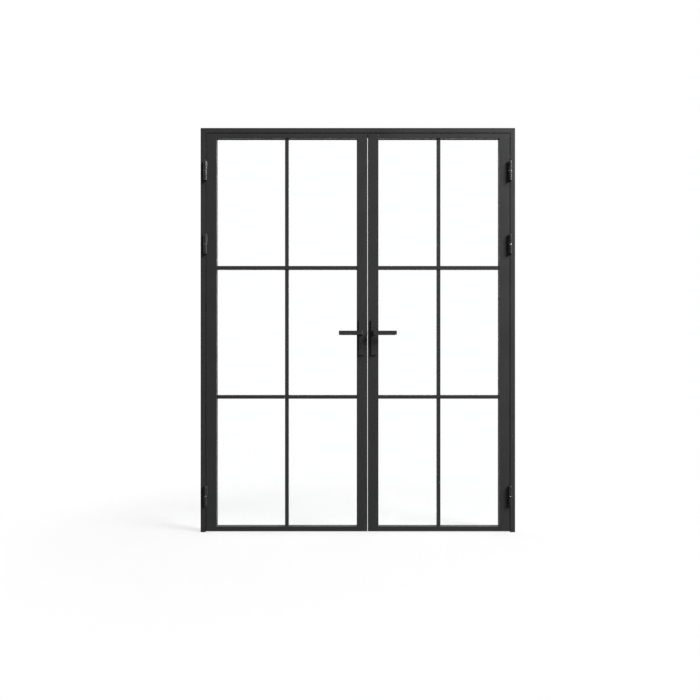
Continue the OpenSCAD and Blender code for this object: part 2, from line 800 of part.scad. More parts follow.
// Dead bolt and its fork over the cam's pin
module dead_bolt() color(steel) active_edge() {
    z = cyl_z;
    pin_x = backset + dead_crank * sin(quarter_turn / 2);
    slot = crank_pin_r + crank_room;
    low = shaft_r + clear;
    top = dead_crank + crank_pin_r + clear;
    difference() {
        union() {
            block([0, -bolt_t / 2, z - bolt_h / 2], [bolt_l, bolt_t / 2, z + bolt_h / 2]);
            block([bolt_l - web, -fork_t / 2, z + low],
                  [case_x1 - case_wall - bolt_fit, fork_t / 2, z + top + fork_back]);
        }
        block([pin_x - slot, -fork_t / 2 - eps, z + low - eps],
              [pin_x + slot, fork_t / 2 + eps, z + top]);
    }
}

// Hub on the active spindle, with the lug that pulls the latch
module active_follower() color(steel) active_edge() at_spindle() difference() {
    union() {
        rod_y(hub_r, -case_t / 2, case_t / 2);
        rotate([0, -lever_turn / 2, 0]) {
            block([-lug_neck / 2, -fork_t / 2, 0], [lug_neck / 2, fork_t / 2, latch_crank]);
            translate([0, 0, latch_crank]) rod_y(lug_r, -fork_t / 2, fork_t / 2);
        }
    }
    spindle_socket(-case_t / 2, case_t / 2);
}

// ---- passive leaf's gear ----------------------------------------------------

module gear_case() color(steel) passive_edge() difference() {
    union() {
        case_shell(gear_x0, spindle_z - 20, spindle_z + case_top);
        // lugs behind the strike plate
        for (z = [forend_z0, forend_z1 - lug_h])
            block([forend_t, -case_t / 2, z], [forend_t + lug_d, case_t / 2, z + lug_h]);
        // strap that joins the lugs to the case
        block([gear_x0, case_t / 2 - case_wall, forend_z0 + lug_h - 1],
              [forend_t + lug_d, case_t / 2, forend_z1 - lug_h + 1]);
    }
    at_spindle() rod_y(hub_r + pin_fit, -case_t, 0);
    at_spindle() rod_y(spindle_hole, 0, case_t);
    translate([rod_in, 0, spindle_z]) cylinder(r = rod_r + clear, h = case_top + eps);
    for (z = forend_screw_z) translate([0, 0, z])
        rod_x(forend_screw_r + thread_fit, forend_t - eps, forend_t + lug_d + eps);
}

module strike_plate() color(steel) passive_edge() forend_plate();
module strike_screws() passive_edge() edge_screws(forend_t + lug_d - 1);

// Disc on the passive spindle with the pin that lifts the rod
module passive_follower() color(steel) passive_edge() at_spindle() difference() {
    union() {
        rod_y(hub_r, -case_t / 2, -fork_t / 2 - clear);
        rod_y(disc_r, -case_t / 2 + case_wall + clear, -fork_t / 2 - clear);
        translate([-pin_dx, 0, -pin_dz])
            rod_y(crank_pin_r, -fork_t / 2 - 1, fork_t / 2);
    }
    spindle_socket(-case_t / 2, fork_t);
}

// Yoke round the follower's pin, rod, and bolt at the leaf's top
module top_rod() color(steel) passive_edge() {
    z = spindle_z;
    pin_z = z - pin_dz;
    x1 = yoke_inner;
    x0 = backset - gear_crank - crank_pin_r - clear - yoke_spine;
    joint_z = z + yoke_joint;
    difference() {
        block([x0, -fork_t / 2, pin_z - yoke_slot - yoke_prong],
              [x1, fork_t / 2, pin_z + yoke_slot + yoke_prong]);
        block([x0 + yoke_spine, -fork_t / 2 - eps, pin_z - yoke_slot],
              [x1 + eps, fork_t / 2 + eps, pin_z + yoke_slot]);
    }
    block([x0, -fork_t / 2, pin_z], [x0 + yoke_spine, fork_t / 2, joint_z + 4]);
    translate([rod_in, 0, joint_z]) cylinder(r = rod_r, h = leaf_h - joint_z - bolt_end + 1);
    translate([rod_in, 0, leaf_h - bolt_end]) cylinder(r = top_bolt_r, h = bolt_end);
}

// ---- named pieces of the two leaves -----------------------------------------

module active_hinge_stile() color(black) on_active() stile();
module active_top_rail() on_active() top_rail(active_w);
module active_bottom_rail() on_active() bottom_rail(active_w);
module active_corner_blocks() on_active() corner_blocks(active_w);
module active_end_caps() on_active() end_caps(active_w, false);
module active_glass() on_active() glass(active_w);
module active_glazing_rubbers() on_active() glazing_rubbers(active_w);
module active_beads() on_active() beads(active_w);
module active_cross_bars() on_active() cross_bars(active_w);
module active_upright_bars() on_active() upright_bars(active_w);
module active_hinge_knuckles() on_active() leaf_knuckles();
module active_front_plate() color(black) active_edge() front_plate(true);
module active_back_plate() color(black) active_edge() back_plate(true);
module active_plate_screws() active_edge() plate_screws();
module active_front_lever() color(black) active_edge() lever();
module active_back_lever() color(black) active_edge() mirror([0, 1, 0]) lever();
module active_spindle() active_edge() spindle();

module passive_hinge_stile() color(black) on_passive() stile();
module passive_top_rail() on_passive() top_rail(passive_w);
module passive_bottom_rail() on_passive() bottom_rail(passive_w);
module passive_corner_blocks() on_passive() corner_blocks(passive_w);
module passive_end_caps() on_passive() end_caps(passive_w, true);
module passive_glass() on_passive() glass(passive_w);
module passive_glazing_rubbers() on_passive() glazing_rubbers(passive_w);
module passive_beads() on_passive() beads(passive_w);
module passive_cross_bars() on_passive() cross_bars(passive_w);
module passive_upright_bars() on_passive() upright_bars(passive_w);
module passive_hinge_knuckles() on_passive() leaf_knuckles();
module passive_front_plate() color(black) passive_edge() front_plate(false);
module passive_back_plate() color(black) passive_edge() back_plate(false);
module passive_plate_screws() passive_edge() plate_screws();
module passive_front_lever() color(black) passive_edge() lever();
module passive_back_lever() color(black) passive_edge() mirror([0, 1, 0]) lever();
module passive_spindle() passive_edge() spindle();

left_jamb();
right_jamb();
frame_head();
frame_corner_blocks();
frame_seals();
head_keep();
hinge_frame_knuckles();
hinge_washers();
active_hinge_stile();
active_lock_stile();
active_top_rail();
active_bottom_rail();
active_corner_blocks();
active_end_caps();
active_glass();
active_glazing_rubbers();
active_beads();
active_cross_bars();
active_upright_bars();
active_hinge_knuckles();
active_front_plate();
active_back_plate();
active_plate_screws();
lock_case();
lock_forend();
forend_screws();
lock_cylinder();
active_front_lever();
active_back_lever();
active_spindle();
active_follower();
latch_bolt();
dead_bolt();
thumb_turn();
cylinder_cam();
cylinder_plug();
passive_hinge_stile();
passive_lock_stile();
passive_top_rail();
passive_bottom_rail();
passive_corner_blocks();
passive_end_caps();
passive_glass();
passive_glazing_rubbers();
passive_beads();
passive_cross_bars();
passive_upright_bars();
passive_hinge_knuckles();
passive_front_plate();
passive_back_plate();
passive_plate_screws();
gear_case();
strike_plate();
strike_screws();
passive_front_lever();
passive_back_lever();
passive_spindle();
passive_follower();
top_rod();
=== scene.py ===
"""Looks for an unequal pair of glazed steel french doors in a slim three-sided frame.

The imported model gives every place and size. This script rounds the edges as rolling and
paint round them on the real profiles, turns and bends the fittings afresh, and gives each
piece its finish. Lengths are in metres in the model's own frame: +X right, +Z up, and the
hinge side of the doors faces -Y.
"""

import json
import math

import bmesh
import bpy
from mathutils import Matrix, Vector

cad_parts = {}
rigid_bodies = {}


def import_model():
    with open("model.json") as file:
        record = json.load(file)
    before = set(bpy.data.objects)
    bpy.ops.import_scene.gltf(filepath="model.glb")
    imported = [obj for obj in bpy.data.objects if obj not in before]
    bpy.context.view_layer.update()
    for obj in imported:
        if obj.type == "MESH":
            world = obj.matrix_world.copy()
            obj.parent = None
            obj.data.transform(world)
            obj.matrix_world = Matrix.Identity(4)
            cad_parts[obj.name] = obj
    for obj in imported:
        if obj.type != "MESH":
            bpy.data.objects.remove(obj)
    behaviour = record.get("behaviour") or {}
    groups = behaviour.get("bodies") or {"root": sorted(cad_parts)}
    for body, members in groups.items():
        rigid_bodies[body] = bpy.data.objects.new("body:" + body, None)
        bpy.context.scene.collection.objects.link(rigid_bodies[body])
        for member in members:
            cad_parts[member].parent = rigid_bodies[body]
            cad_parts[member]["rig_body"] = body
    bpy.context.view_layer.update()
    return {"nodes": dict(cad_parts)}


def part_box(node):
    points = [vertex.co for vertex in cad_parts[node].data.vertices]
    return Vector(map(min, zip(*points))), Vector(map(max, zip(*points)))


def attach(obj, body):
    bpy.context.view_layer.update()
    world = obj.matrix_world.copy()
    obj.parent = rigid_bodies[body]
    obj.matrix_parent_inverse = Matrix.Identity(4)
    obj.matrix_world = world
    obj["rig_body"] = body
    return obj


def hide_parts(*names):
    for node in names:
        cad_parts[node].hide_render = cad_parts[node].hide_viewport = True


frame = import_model()
nodes = frame["nodes"]

MM = 0.001
MICRON = 0.001 * MM
LEAVES = ("active", "passive")
SIDES = ("front", "back")
ALONG_X, ALONG_Y, ALONG_Z = Vector((1, 0, 0)), Vector((0, 1, 0)), Vector((0, 0, 1))

WELD = 0.01 * MM            # vertices nearer than this are one
FLAT = math.radians(1)      # faces this near to one plane become one face
CORNER = math.radians(35)   # edges sharper than this are rounded
FACING = 0.9                # a face looks along an axis if their cosine is more than this
ROUND_STEPS = 64            # faces round a turned piece

# Radii of edges
PROFILE_EDGE = 1.2 * MM
BAR_EDGE = 0.6 * MM
PLATE_EDGE = 1.5 * MM
FINE_EDGE = 0.25 * MM
GLASS_EDGE = 0.6 * MM
RUBBER_EDGE = 0.5 * MM

# Edges shorter than these are left crisp
PROFILE_DETAIL = 6 * MM
CAP_DETAIL = 1 * MM


# ---- meshes -----------------------------------------------------------------


def as_object(name, bm, look):
    """Puts a finished mesh into the scene with its material."""
    mesh = bpy.data.meshes.new(name)
    bm.to_mesh(mesh)
    bm.free()
    mesh.materials.append(look)
    made = bpy.data.objects.new(name, mesh)
    bpy.context.scene.collection.objects.link(made)
    return made


def show(name, bm, body, look, stands_for):
    """Makes a finished mesh a piece that rides on a body and stands for its CAD nodes."""
    for face in bm.faces:
        face.smooth = True
    piece = as_object(name, bm, look)
    shade = piece.modifiers.new("Even shading", "WEIGHTED_NORMAL")
    shade.keep_sharp = True
    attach(piece, body)
    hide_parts(*stands_for)


def merged_copy(node):
    """A CAD piece's mesh with its loose triangles joined into whole flat faces."""
    bm = bmesh.new()
    bm.from_mesh(nodes[node].data)
    bmesh.ops.remove_doubles(bm, verts=bm.verts, dist=WELD)
    bmesh.ops.dissolve_limit(bm, angle_limit=FLAT, verts=bm.verts, edges=bm.edges)
    bm.normal_update()
    return bm


def bevel(bm, edges, radius, segments, clamp=False):
    """Rounds the given edges; clamped, they stop short of running into each other."""
    bmesh.ops.bevel(
        bm,
        geom=edges,
        offset=radius,
        segments=segments,
        profile=0.5,
        affect="EDGES",
        material=-1,
        clamp_overlap=clamp,
    )


def round_edges(bm, radius, segments=2, shortest=0.0, chosen=None):
    """Rounds each corner edge that is at least so long, and chosen if a choice is given."""
    sharp = [
        edge
        for edge in bm.edges
        if len(edge.link_faces) == 2
        and edge.calc_face_angle() > CORNER
        and edge.calc_length() >= shortest
        and (chosen is None or chosen(edge))
    ]
    bevel(bm, sharp, radius, segments, clamp=True)


def rounded(node, suffix, look, radius, shortest=0.0):
    """Shows a CAD piece with rounded edges in the place of its plain one."""
    bm = merged_copy(node)
    round_edges(bm, radius, shortest=shortest)
    show(f"{node}_{suffix}", bm, nodes[node]["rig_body"], look, [node])


def join(into, part):
    """Adds a finished part to a piece."""
    mesh = bpy.data.meshes.new("part")
    part.to_mesh(mesh)
    part.free()
    into.from_mesh(mesh)
    bpy.data.meshes.remove(mesh)


def turned(outline, centre, axis):
    """Turns an outline of (radius, distance along the axis) points about an axis."""
    bm = bmesh.new()
    across = axis.orthogonal().normalized()
    line = [bm.verts.new(centre + across * radius + axis * along) for radius, along in outline]
    edges = [bm.edges.new(pair) for pair in zip(line, line[1:])]
    bmesh.ops.spin(
        bm,
        geom=line + edges,
        cent=centre,
        axis=axis,
        angle=math.tau,
        steps=ROUND_STEPS,
        use_merge=True,
        use_duplicate=False,
    )
    bmesh.ops.remove_doubles(bm, verts=bm.verts, dist=WELD)
    bmesh.ops.recalc_face_normals(bm, faces=bm.faces)
    return bm


def block(low, high):
    """A block between two corners, its edges still sharp."""
    bm = bmesh.new()
    bmesh.ops.create_cube(bm, size=1.0)
    low, high = Vector(map(min, low, high)), Vector(map(max, low, high))
    bmesh.ops.scale(bm, verts=bm.verts, vec=high - low)
    bmesh.ops.translate(bm, verts=bm.verts, vec=(low + high) / 2)
    return bm


def solids_of(node):
    """The corners of each separate solid in a node, from the lowest up."""
    bm = merged_copy(node)
    left, found = set(bm.verts), []
    while left:
        group, reach = [], [left.pop()]
        while reach:
            vert = reach.pop()
            group.append(vert.co.copy())
            for edge in vert.link_edges:
                other = edge.other_vert(vert)
                if other in left:
                    left.remove(other)
                    reach.append(other)
        low = Vector(min(co[i] for co in group) for i in range(3))
        high = Vector(max(co[i] for co in group) for i in range(3))
        found.append((low, high))
    bm.free()
    return sorted(found, key=lambda box: (box[0].z, box[0].x))


# ---- materials --------------------------------------------------------------

NOISE_LOW, NOISE_HIGH = 0.3, 0.7    # nearly all of the noise lies between these

PAINT_BLACK = (0.0235, 0.0235, 0.0240)
HINGE_BLACK = (0.0150, 0.0150, 0.0155)
HANDLE_BLACK = (0.0240, 0.0240, 0.0245)
SCREW_BLACK = (0.0120, 0.0120, 0.0125)
RUBBER_BLACK = (0.012, 0.012, 0.012)
NYLON_BLACK = (0.018, 0.018, 0.019)
ZINC_GREY = (0.60, 0.61, 0.62)
EDGE_GREY = (0.50, 0.50, 0.49)
BOLT_GREY = (0.55, 0.55, 0.54)
TURNED_GREY = (0.58, 0.58, 0.57)
GLASS_GREEN = (0.992, 0.998, 0.995)
GLASS_SHADE = (0.94, 0.96, 0.95, 1.0)
GLASS_IOR = 1.5

# Powder coat
COAT_DRIFT = 140 * MM       # slow changes of gloss over a painted face
COAT_DRIFTS_BY = 0.05       # how far they take its roughness up and down
COAT_WAVE = 1.6 * MM        # orange peel
COAT_SPECK = 0.35 * MM      # sand in the powder
SPECK_DARK, SPECK_LIGHT = 0.75, 1.3

# Brushed steel: fine lines, and faint clouds over them
BRUSH_LINE = 0.12 * MM
BRUSH_SMOOTHER, BRUSH_ROUGHER = 0.07, 0.09
BRUSH_DEPTH = 2 * MICRON
BRUSH_CLOUD = 25 * MM
CLOUD_DARK = 0.88

# Zinc plate, rubber and nylon: the size of their grains, their roughness and their relief
ZINC_BLOOM = 6 * MM
ZINC_GLOSS = (0.30, 0.50)
ZINC_DARK = 0.75
ZINC_PIT = 0.3 * MM
ZINC_DEPTH = 4 * MICRON
RUBBER_BLOOM = 12 * MM
RUBBER_GLOSS = (0.62, 0.8)
RUBBER_DUST = 1.6           # how much paler the bloom is
RUBBER_LINE = 0.4 * MM
RUBBER_DEPTH = 12 * MICRON
NYLON_GRAIN = 0.5 * MM
NYLON_GLOSS = (0.42, 0.6)
NYLON_DEPTH = 15 * MICRON


def new_look(name, colour, roughness, metallic=0.0, specular=0.5):
    """A material with its main shader, and the tree that it is built in."""
    look = bpy.data.materials.new(name)
    look.use_nodes = True
    shader = look.node_tree.nodes["Principled BSDF"]
    shader.inputs["Base Color"].default_value = (*colour, 1.0)
    shader.inputs["Roughness"].default_value = roughness
    shader.inputs["Metallic"].default_value = metallic
    shader.inputs["Specular IOR Level"].default_value = specular
    look.diffuse_color = (*colour, 1.0)
    return look, look.node_tree, shader


def grain(tree, size, detail=2.0, stretch=(1, 1, 1)):
    """Noise over a piece, its grains about so many metres across, drawn out by stretch."""
    coords = tree.nodes.new("ShaderNodeTexCoord")
    mapping = tree.nodes.new("ShaderNodeMapping")
    mapping.inputs["Scale"].default_value = [1 / (size * s) for s in stretch]
    noise = tree.nodes.new("ShaderNodeTexNoise")
    noise.inputs["Scale"].default_value = 1.0
    noise.inputs["Detail"].default_value = detail
    tree.links.new(coords.outputs["Object"], mapping.inputs["Vector"])
    tree.links.new(mapping.outputs["Vector"], noise.inputs["Vector"])
    return noise.outputs["Fac"]


def between(tree, factor, low, high):
    """A value that follows the noise from low to high."""
    ranged = tree.nodes.new("ShaderNodeMapRange")
    ranged.inputs["From Min"].default_value = NOISE_LOW
    ranged.inputs["From Max"].default_value = NOISE_HIGH
    ranged.inputs["To Min"].default_value = low
    ranged.inputs["To Max"].default_value = high
    tree.links.new(factor, ranged.inputs["Value"])
    return ranged.outputs["Result"]


def tinted(tree, factor, dark, light):
    """A colour that follows the noise from dark to light."""
    ramp = tree.nodes.new("ShaderNodeValToRGB")
    ramp.color_ramp.elements[0].position = NOISE_LOW
    ramp.color_ramp.elements[0].color = (*dark, 1.0)
    ramp.color_ramp.elements[1].position = NOISE_HIGH
    ramp.color_ramp.elements[1].color = (*light, 1.0)
    tree.links.new(factor, ramp.inputs["Fac"])
    return ramp.outputs["Color"]


def raised(tree, height, depth, under=None):
    """A normal that follows noise as a relief so many metres deep, over another one."""
    bump = tree.nodes.new("ShaderNodeBump")
    bump.inputs["Strength"].default_value = 1.0
    bump.inputs["Distance"].default_value = depth
    tree.links.new(height, bump.inputs["Height"])
    if under is not None:
        tree.links.new(under, bump.inputs["Normal"])
    return bump.outputs["Normal"]


def mixed(tree, factor, first, second):
    """The first shader where the factor is 0 and the second where it is 1."""
    mix = tree.nodes.new("ShaderNodeMixShader")
    tree.links.new(factor, mix.inputs["Fac"])
    tree.links.new(first, mix.inputs[1])
    tree.links.new(second, mix.inputs[2])
    return mix.outputs["Shader"]


def shaded(colour, factor):
    """A colour made darker or lighter."""
    return tuple(channel * factor for channel in colour)


def coated(name, colour, roughness, peel, sand, specular):
    """Baked powder coat: orange peel and fine sand, in microns, and slow drifts in its gloss."""
    look, tree, shader = new_look(name, colour, roughness, specular=specular)
    drift = grain(tree, COAT_DRIFT, detail=3.0)
    specks = grain(tree, COAT_SPECK)
    waves = grain(tree, COAT_WAVE)
    tint = tinted(tree, specks, shaded(colour, SPECK_DARK), shaded(colour, SPECK_LIGHT))
    gloss = between(tree, drift, roughness - COAT_DRIFTS_BY, roughness + COAT_DRIFTS_BY)
    tree.links.new(tint, shader.inputs["Base Color"])
    tree.links.new(gloss, shader.inputs["Roughness"])
    relief = raised(tree, waves, peel * MICRON)
    relief = raised(tree, specks, sand * MICRON, under=relief)
    tree.links.new(relief, shader.inputs["Normal"])
    return look


def brushed(name, colour, roughness, stretch):
    """Metal with fine lines drawn along one direction."""
    look, tree, shader = new_look(name, colour, roughness, metallic=1.0)
    lines = grain(tree, BRUSH_LINE, stretch=stretch)
    clouds = grain(tree, BRUSH_CLOUD, detail=3.0)
    gloss = between(tree, lines, roughness - BRUSH_SMOOTHER, roughness + BRUSH_ROUGHER)
    tint = tinted(tree, clouds, shaded(colour, CLOUD_DARK), colour)
    tree.links.new(gloss, shader.inputs["Roughness"])
    tree.links.new(tint, shader.inputs["Base Color"])
    tree.links.new(raised(tree, lines, BRUSH_DEPTH), shader.inputs["Normal"])
    return look


def zinc_plate():
    """Bright zinc: soft grey blooms over rolled steel."""
    look, tree, shader = new_look("zinc_plate", ZINC_GREY, roughness=0.38, metallic=1.0)
    blooms = grain(tree, ZINC_BLOOM, detail=4.0)
    tint = tinted(tree, blooms, shaded(ZINC_GREY, ZINC_DARK), ZINC_GREY)
    tree.links.new(between(tree, blooms, *ZINC_GLOSS), shader.inputs["Roughness"])
    tree.links.new(tint, shader.inputs["Base Color"])
    tree.links.new(raised(tree, grain(tree, ZINC_PIT), ZINC_DEPTH), shader.inputs["Normal"])
    return look


def soft_rubber():
    """Extruded rubber: matt and finely grained, with a dusty bloom."""
    look, tree, shader = new_look("soft_rubber", RUBBER_BLACK, roughness=0.7, specular=0.3)
    bloom = grain(tree, RUBBER_BLOOM, detail=4.0)
    tint = tinted(tree, bloom, RUBBER_BLACK, shaded(RUBBER_BLACK, RUBBER_DUST))
    tree.links.new(between(tree, bloom, *RUBBER_GLOSS), shader.inputs["Roughness"])
    tree.links.new(tint, shader.inputs["Base Color"])
    tree.links.new(raised(tree, grain(tree, RUBBER_LINE), RUBBER_DEPTH), shader.inputs["Normal"])
    return look


def moulded_nylon():
    """Moulded nylon with a fine spark-eroded grain."""
    look, tree, shader = new_look("moulded_nylon", NYLON_BLACK, roughness=0.5, specular=0.4)
    pits = grain(tree, NYLON_GRAIN, detail=3.0)
    tree.links.new(between(tree, pits, *NYLON_GLOSS), shader.inputs["Roughness"])
    tree.links.new(raised(tree, pits, NYLON_DEPTH), shader.inputs["Normal"])
    return look


def float_glass():
    """Clear float glass with a breath of green; lamps reach what is behind it."""
    look, tree, shader = new_look("float_glass", GLASS_GREEN, roughness=0.0)
    shader.inputs["IOR"].default_value = GLASS_IOR
    shader.inputs["Transmission Weight"].default_value = 1.0
    path = tree.nodes.new("ShaderNodeLightPath")
    clear = tree.nodes.new("ShaderNodeBsdfTransparent")
    clear.inputs["Color"].default_value = GLASS_SHADE
    shadow = path.outputs["Is Shadow Ray"]
    whole = mixed(tree, shadow, shader.outputs["BSDF"], clear.outputs["BSDF"])
    tree.links.new(whole, tree.nodes["Material Output"].inputs["Surface"])
    return look


frame_paint = coated("frame_coat", PAINT_BLACK, roughness=0.46, peel=22, sand=6, specular=0.32)
leaf_paint = coated("leaf_coat", PAINT_BLACK, roughness=0.44, peel=22, sand=6, specular=0.32)
hinge_paint = coated("hinge_coat", HINGE_BLACK, roughness=0.28, peel=12, sand=3, specular=0.6)
handle_coat = coated("handle_coat", HANDLE_BLACK, roughness=0.38, peel=4, sand=4, specular=0.42)
screw_oxide = coated("screw_oxide", SCREW_BLACK, roughness=0.33, peel=3, sand=3, specular=0.5)
edge_steel = brushed("edge_steel", EDGE_GREY, roughness=0.30, stretch=(1, 1, 60))
bolt_steel = brushed("bolt_steel", BOLT_GREY, roughness=0.26, stretch=(60, 1, 1))
turned_steel = brushed("turned_steel", TURNED_GREY, roughness=0.24, stretch=(40, 40, 1))
zinc = zinc_plate()
rubber = soft_rubber()
nylon = moulded_nylon()
glass = float_glass()


# ---- profiles, bars and glass -----------------------------------------------


def coat_frame():
    """The two jambs and the head, ground smooth at their mitres."""
    for node in ("left_jamb", "right_jamb", "frame_head"):
        rounded(node, "coated", frame_paint, PROFILE_EDGE, shortest=PROFILE_DETAIL)


def coat_leaf(leaf):
    """A leaf's stiles and rails, its glazing bars, and the beads behind its glass."""
    for part in ("hinge_stile", "lock_stile", "top_rail", "bottom_rail"):
        node = f"{leaf}_{part}"
        rounded(node, "coated", leaf_paint, PROFILE_EDGE, shortest=PROFILE_DETAIL)
    for part in ("beads", "cross_bars", "upright_bars"):
        rounded(f"{leaf}_{part}", "coated", leaf_paint, BAR_EDGE)


def glaze_leaf(leaf):
    """The pane with its ground edge, its rubbers, and the plates in the stiles' ends."""
    rounded(f"{leaf}_glass", "pane", glass, GLASS_EDGE)
    rounded(f"{leaf}_glazing_rubbers", "strips", rubber, RUBBER_EDGE)
    node = f"{leaf}_end_caps"
    rounded(node, "moulded", nylon, RUBBER_EDGE, shortest=CAP_DETAIL)


# ---- hinges -----------------------------------------------------------------

DOME = 4 * MM               # height of a knuckle's domed end
DOME_STEPS = 8
KNUCKLE_CHAMFER = 0.5 * MM
PIN_R = 5 * MM
PIN_CHAMFER = 1.0 * MM
TAB_START = 1.5 * MM        # from the pin's axis to the near side of the weld tab
TAB_END = 7.5 * MM
TAB_SHORT = 3 * MM          # the tab stops this far inside its knuckle's ends
TAB_DEEP = 4 * MM           # how far the tab reaches into the barrel, clear of the pin
BEAD_PITCH = 2.3 * MM
BEAD_R = 2.1 * MM
BEAD_SINK = 0.5 * MM        # how far the weld's middle line lies under the leaf's face
BEAD_SHAPE = (1.1, 1.0, 0.95, 1.0)
BEAD_SEGMENTS, BEAD_RINGS = 10, 6
BEAD_WANDER = 0.08          # the beads grow and shrink by this share along the weld
BEAD_TURN = 2.4             # in a wave that moves on by this angle from bead to bead
HINGE_TURN = 40             # and by this angle for each metre from hinge to hinge
PIN_PLAY = 0.05 * MM        # between a pin and its bore
PIN_HEADROOM = 0.5 * MM     # over the pin's tip
WASHER_PLAY = 0.2 * MM      # between a pin and its washer
WASHER_EDGE = 0.7 * MM      # radius of the washer's rounded rim
WASHER_STEPS = 4


def dome(radius, length):
    """Points over a knuckle's rounded end, from its side to its middle."""
    start = length - DOME
    turns = [math.pi / 2 * i / DOME_STEPS for i in range(DOME_STEPS)]
    arc = [(radius * math.cos(a), start + DOME * math.sin(a)) for a in turns]
    return arc + [(0, length)]


def weld_tab(centre, face_y, inward, low_z, high_z):
    """The tab that joins a knuckle to its profile, with the ripples of its weld."""
    tab = block(
        (centre.x + inward * TAB_START, face_y - TAB_DEEP, low_z + TAB_SHORT),
        (centre.x + inward * TAB_END, face_y, high_z - TAB_SHORT),
    )
    round_edges(tab, FINE_EDGE)
    count = int((high_z - low_z - 2 * TAB_SHORT - 2 * BEAD_R) / BEAD_PITCH) + 1
    first = (low_z + high_z - (count - 1) * BEAD_PITCH) / 2
    for i in range(count):
        place = Vector((centre.x + inward * TAB_END, face_y + BEAD_SINK, first + i * BEAD_PITCH))
        swell = 1 + BEAD_WANDER * math.sin(BEAD_TURN * i + HINGE_TURN * centre.x)
        bmesh.ops.create_uvsphere(
            tab,
            u_segments=BEAD_SEGMENTS,
            v_segments=BEAD_RINGS,
            radius=BEAD_R * swell,
            matrix=Matrix.Translation(place) @ Matrix.Diagonal(BEAD_SHAPE),
        )
    return tab


def knuckle_boxes(inward):
    """The frame's knuckles with their pins, beside the leaf that lies in a direction."""
    return [box for box in solids_of("hinge_frame_knuckles") if box[0].x * inward < 0]


def washer_boxes(inward):
    """The washers of the same hinges."""
    return [box for box in solids_of("hinge_washers") if box[0].x * inward < 0]


def on_pin(washer, height):
    """The point on a hinge's axis at a height."""
    low, high = washer
    return Vector(((low.x + high.x) / 2, (low.y + high.y) / 2, height))


def leaf_knuckles(leaf, inward):
    """The upper halves of a leaf's hinges, bored for their pins."""
    node = f"{leaf}_hinge_knuckles"
    pin_tops = [box[1].z for box in knuckle_boxes(inward)]
    piece = bmesh.new()
    for (low, high), washer, pin_top in zip(solids_of(node), washer_boxes(inward), pin_tops):
        radius, centre = (high.x - low.x) / 2, on_pin(washer, low.z)
        bore, depth = PIN_R + PIN_PLAY, pin_top - low.z + PIN_HEADROOM
        outline = [(0, depth), (bore, depth), (bore, 0), (radius - KNUCKLE_CHAMFER, 0)]
        outline += [(radius, KNUCKLE_CHAMFER)] + dome(radius, high.z - low.z)
        join(piece, turned(outline, centre, ALONG_Z))
        join(piece, weld_tab(centre, high.y, inward, low.z, high.z))
    show(f"{leaf}_knuckles_turned", piece, f"{leaf}_leaf", hinge_paint, [node])


def frame_knuckles():
    """The lower halves of all the hinges, each with its pin standing in it."""
    piece = bmesh.new()
    for inward in (1, -1):
        for (low, high), washer in zip(knuckle_boxes(inward), washer_boxes(inward)):
            joint = washer[0].z
            radius, centre = (high.x - low.x) / 2, on_pin(washer, joint)
            tip = joint - high.z
            outline = [(0, tip), (PIN_R - PIN_CHAMFER, tip), (PIN_R, tip + PIN_CHAMFER)]
            outline += [(PIN_R, 0), (radius - KNUCKLE_CHAMFER, 0), (radius, KNUCKLE_CHAMFER)]
            outline += dome(radius, joint - low.z)
            join(piece, turned(outline, centre, -ALONG_Z))
            join(piece, weld_tab(centre, high.y, -inward, low.z, joint))
    node = "hinge_frame_knuckles"
    show("frame_knuckles_turned", piece, "frame", hinge_paint, [node])


def washers():
    """Bright rings that the leaves' knuckles turn on."""
    piece = bmesh.new()
    for low, high in solids_of("hinge_washers"):
        radius, thick = (high.x - low.x) / 2, high.z - low.z
        centre = on_pin((low, high), low.z)
        bore, flat = PIN_R + WASHER_PLAY, radius - WASHER_EDGE
        turns = [math.pi / 2 * i / WASHER_STEPS for i in range(WASHER_STEPS + 1)]
        swell = [(flat + WASHER_EDGE * math.sin(a), WASHER_EDGE * math.cos(a)) for a in turns]
        lower = [(r, WASHER_EDGE - rise) for r, rise in swell]
        upper = [(r, thick - WASHER_EDGE + rise) for r, rise in reversed(swell)]
        outline = [(bore, 0)] + lower + upper + [(bore, thick), (bore, 0)]
        join(piece, turned(outline, centre, ALONG_Z))
    show("hinge_washers_turned", piece, "frame", turned_steel, ["hinge_washers"])


# ---- handles ----------------------------------------------------------------

LEVER_EDGE = 0.9 * MM
LEVER_EDGE_STEPS = 3
LEVER_CORNER = 5 * MM       # outer radius where the bar turns
LEVER_CORNER_STEPS = 12
LEVER_BAR = 12 * MM         # thickness of the flat bar
ROOT_R = 9.5 * MM           # the bar's round root in its collar
ROOT_LENGTH = 4.5 * MM
ROOT_OVERLAP = 1.5 * MM     # how far the flat neck runs into the root
ROOT_CHAMFER = 0.4 * MM


